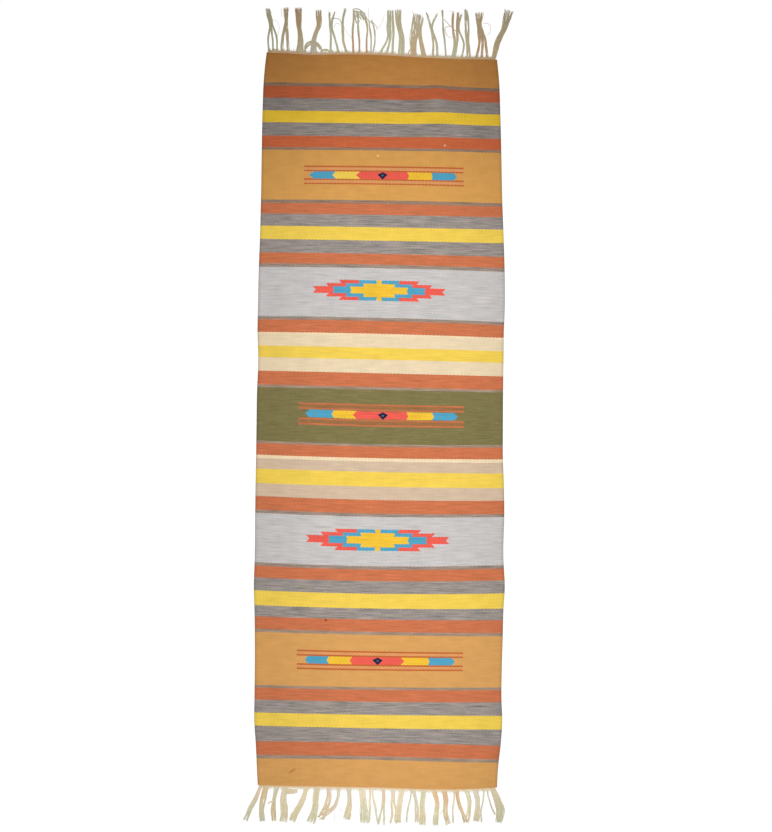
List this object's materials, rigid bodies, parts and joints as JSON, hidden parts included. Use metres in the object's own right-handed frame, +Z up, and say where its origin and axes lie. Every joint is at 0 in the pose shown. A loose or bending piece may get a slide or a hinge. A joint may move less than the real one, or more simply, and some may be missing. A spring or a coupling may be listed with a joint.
{
  "type": "dhurrie rug",
  "caption": "Flat-woven cotton dhurrie runner in ochre, orange, grey and yellow stripes with stepped lozenges and arrow bars, fringed at both ends.",
  "frame": {"origin": "centre of the cloth's underside, on the floor", "axes": "+X across the cloth, +Y along it towards the end with the longer fringe, +Z up out of the face"},
  "size_m": [0.666, 2.0144, 0.003],
  "materials": {
    "woven_cotton": "matt weft-faced weave, striped in ochre, orange, grey, yellow, silver and olive",
    "undyed_cotton": "matt loosely twisted undyed cotton yarn"
  },
  "bodies": {
    "root": {"rug_cloth": "woven_cotton", "fringe_top": "undyed_cotton", "fringe_bottom": "undyed_cotton"}
  },
  "joints": []
}
